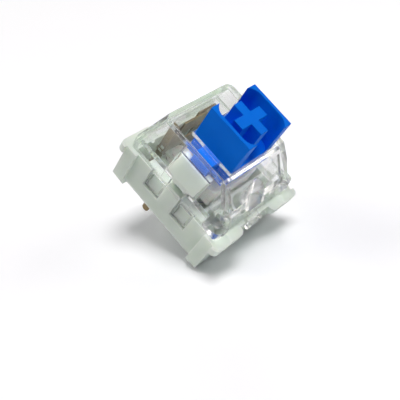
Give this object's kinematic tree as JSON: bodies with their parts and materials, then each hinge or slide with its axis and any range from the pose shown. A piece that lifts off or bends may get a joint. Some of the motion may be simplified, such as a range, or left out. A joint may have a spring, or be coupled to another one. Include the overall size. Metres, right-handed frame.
{
  "type": "mechanical keyboard switch",
  "caption": "Clicky plate-mount keyboard switch: a cross-topped slider springs up through a clear cover clipped to a white lower housing, and a loose sleeve works a leaf contact.",
  "frame": {"origin": "centre of the housing where the centre post's axis meets the board's upper face", "axes": "+Z along the slider, away from the board; +Y towards the side with the contacts; X across the two latch sides"},
  "size_m": [0.0146, 0.0156, 0.0188],
  "materials": {
    "milky_nylon": "moulded",
    "clear_polycarbonate": "moulded, polished",
    "blue_acetal": "moulded, satin",
    "white_acetal": "moulded, satin",
    "spring_steel": "drawn wire",
    "bronze_sheet": "stamped sheet",
    "gold_alloy": "welded"
  },
  "bodies": {
    "housing": {"bottom_housing": "milky_nylon", "top_housing": "clear_polycarbonate", "fixed_contact": "bronze_sheet", "moving_contact": "bronze_sheet", "fixed_contact_bar": "gold_alloy", "moving_contact_bar": "gold_alloy", "return_spring": "spring_steel"},
    "slider": {"stem": "blue_acetal"},
    "sleeve": {"click_sleeve": "white_acetal"}
  },
  "joints": [
    {"name": "slider_press", "type": "slide", "parent": "housing", "child": "slider", "axis": [0, 0, -1], "range_m": [0, 0.004], "stiffness_N_per_m": 110, "springref_m": -0.0025, "deforming": ["return_spring"]},
    {"name": "sleeve_click", "type": "slide", "parent": "slider", "child": "sleeve", "axis": [0, 0, 1], "range_m": [0, 0.001]}
  ]
}
